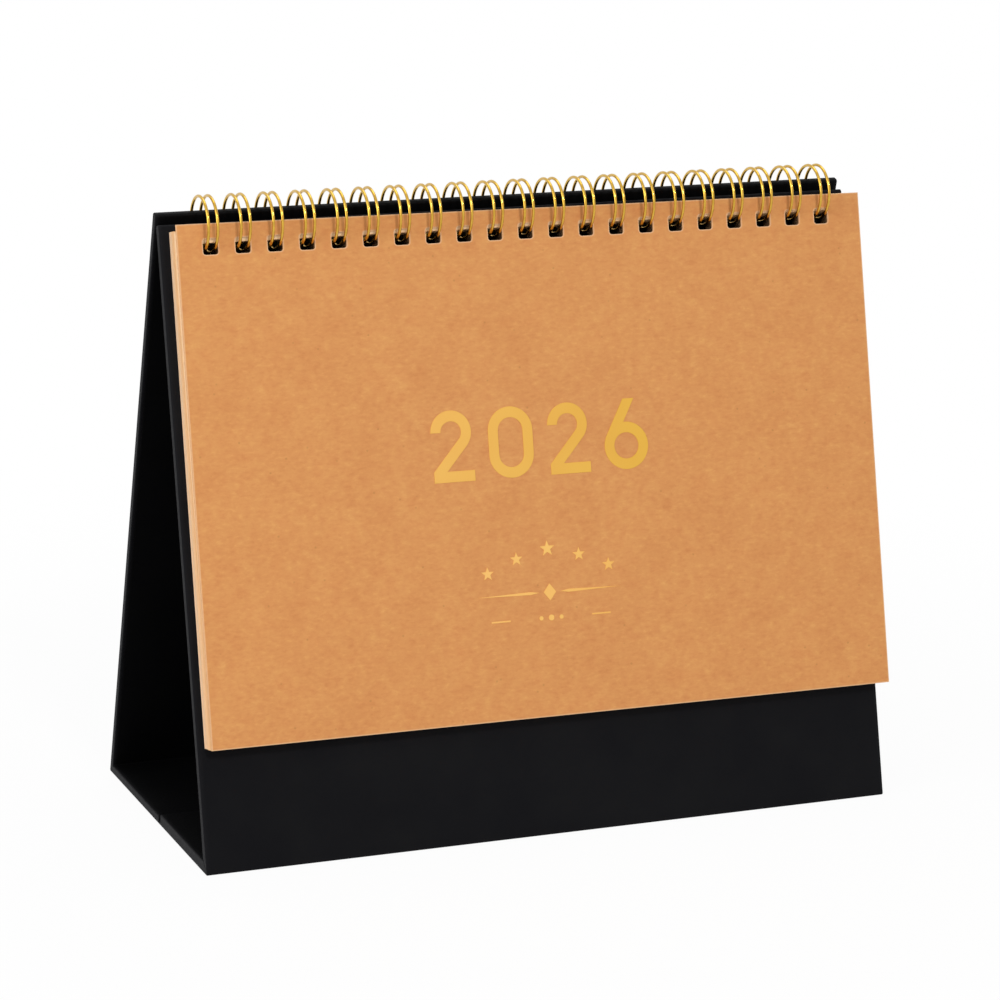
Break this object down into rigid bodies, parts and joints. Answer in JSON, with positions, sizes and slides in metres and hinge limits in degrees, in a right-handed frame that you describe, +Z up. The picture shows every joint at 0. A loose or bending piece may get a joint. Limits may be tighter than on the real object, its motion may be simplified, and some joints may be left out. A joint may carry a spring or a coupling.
{
  "type": "flip desk calendar",
  "caption": "Desk calendar: a pad of sheets hung by a twin-loop wire from a folded board easel that stands as a triangle; the cover sheet flips up.",
  "frame": {"origin": "middle of the base's underside on the table, at half the easel's width and half its depth", "axes": "+X to the right of someone who faces the cover, +Y to the back, +Z up"},
  "size_m": [0.1925, 0.0842, 0.1647],
  "materials": {
    "black_board": "black paper wrapped over board, satin",
    "gold_wire": "gold coated steel wire, glossy",
    "cream_paper": "cream uncoated paper, matt",
    "kraft_paper": "brown kraft paper, matt",
    "gold_foil": "hot-stamped gold foil, bright satin"
  },
  "bodies": {
    "stand": {"easel_stand": "black_board", "twin_loop_wire": "gold_wire", "page_block": "cream_paper"},
    "cover": {"front_cover": "kraft_paper", "foil_year": "gold_foil", "foil_stars": "gold_foil", "foil_ornament": "gold_foil"}
  },
  "joints": [
    {"name": "cover_flip", "type": "hinge", "parent": "stand", "child": "cover", "pos_m": [0.0014, -0.00296, 0.15765], "axis": [-1, 0, 0], "range_deg": [0, 170]}
  ]
}
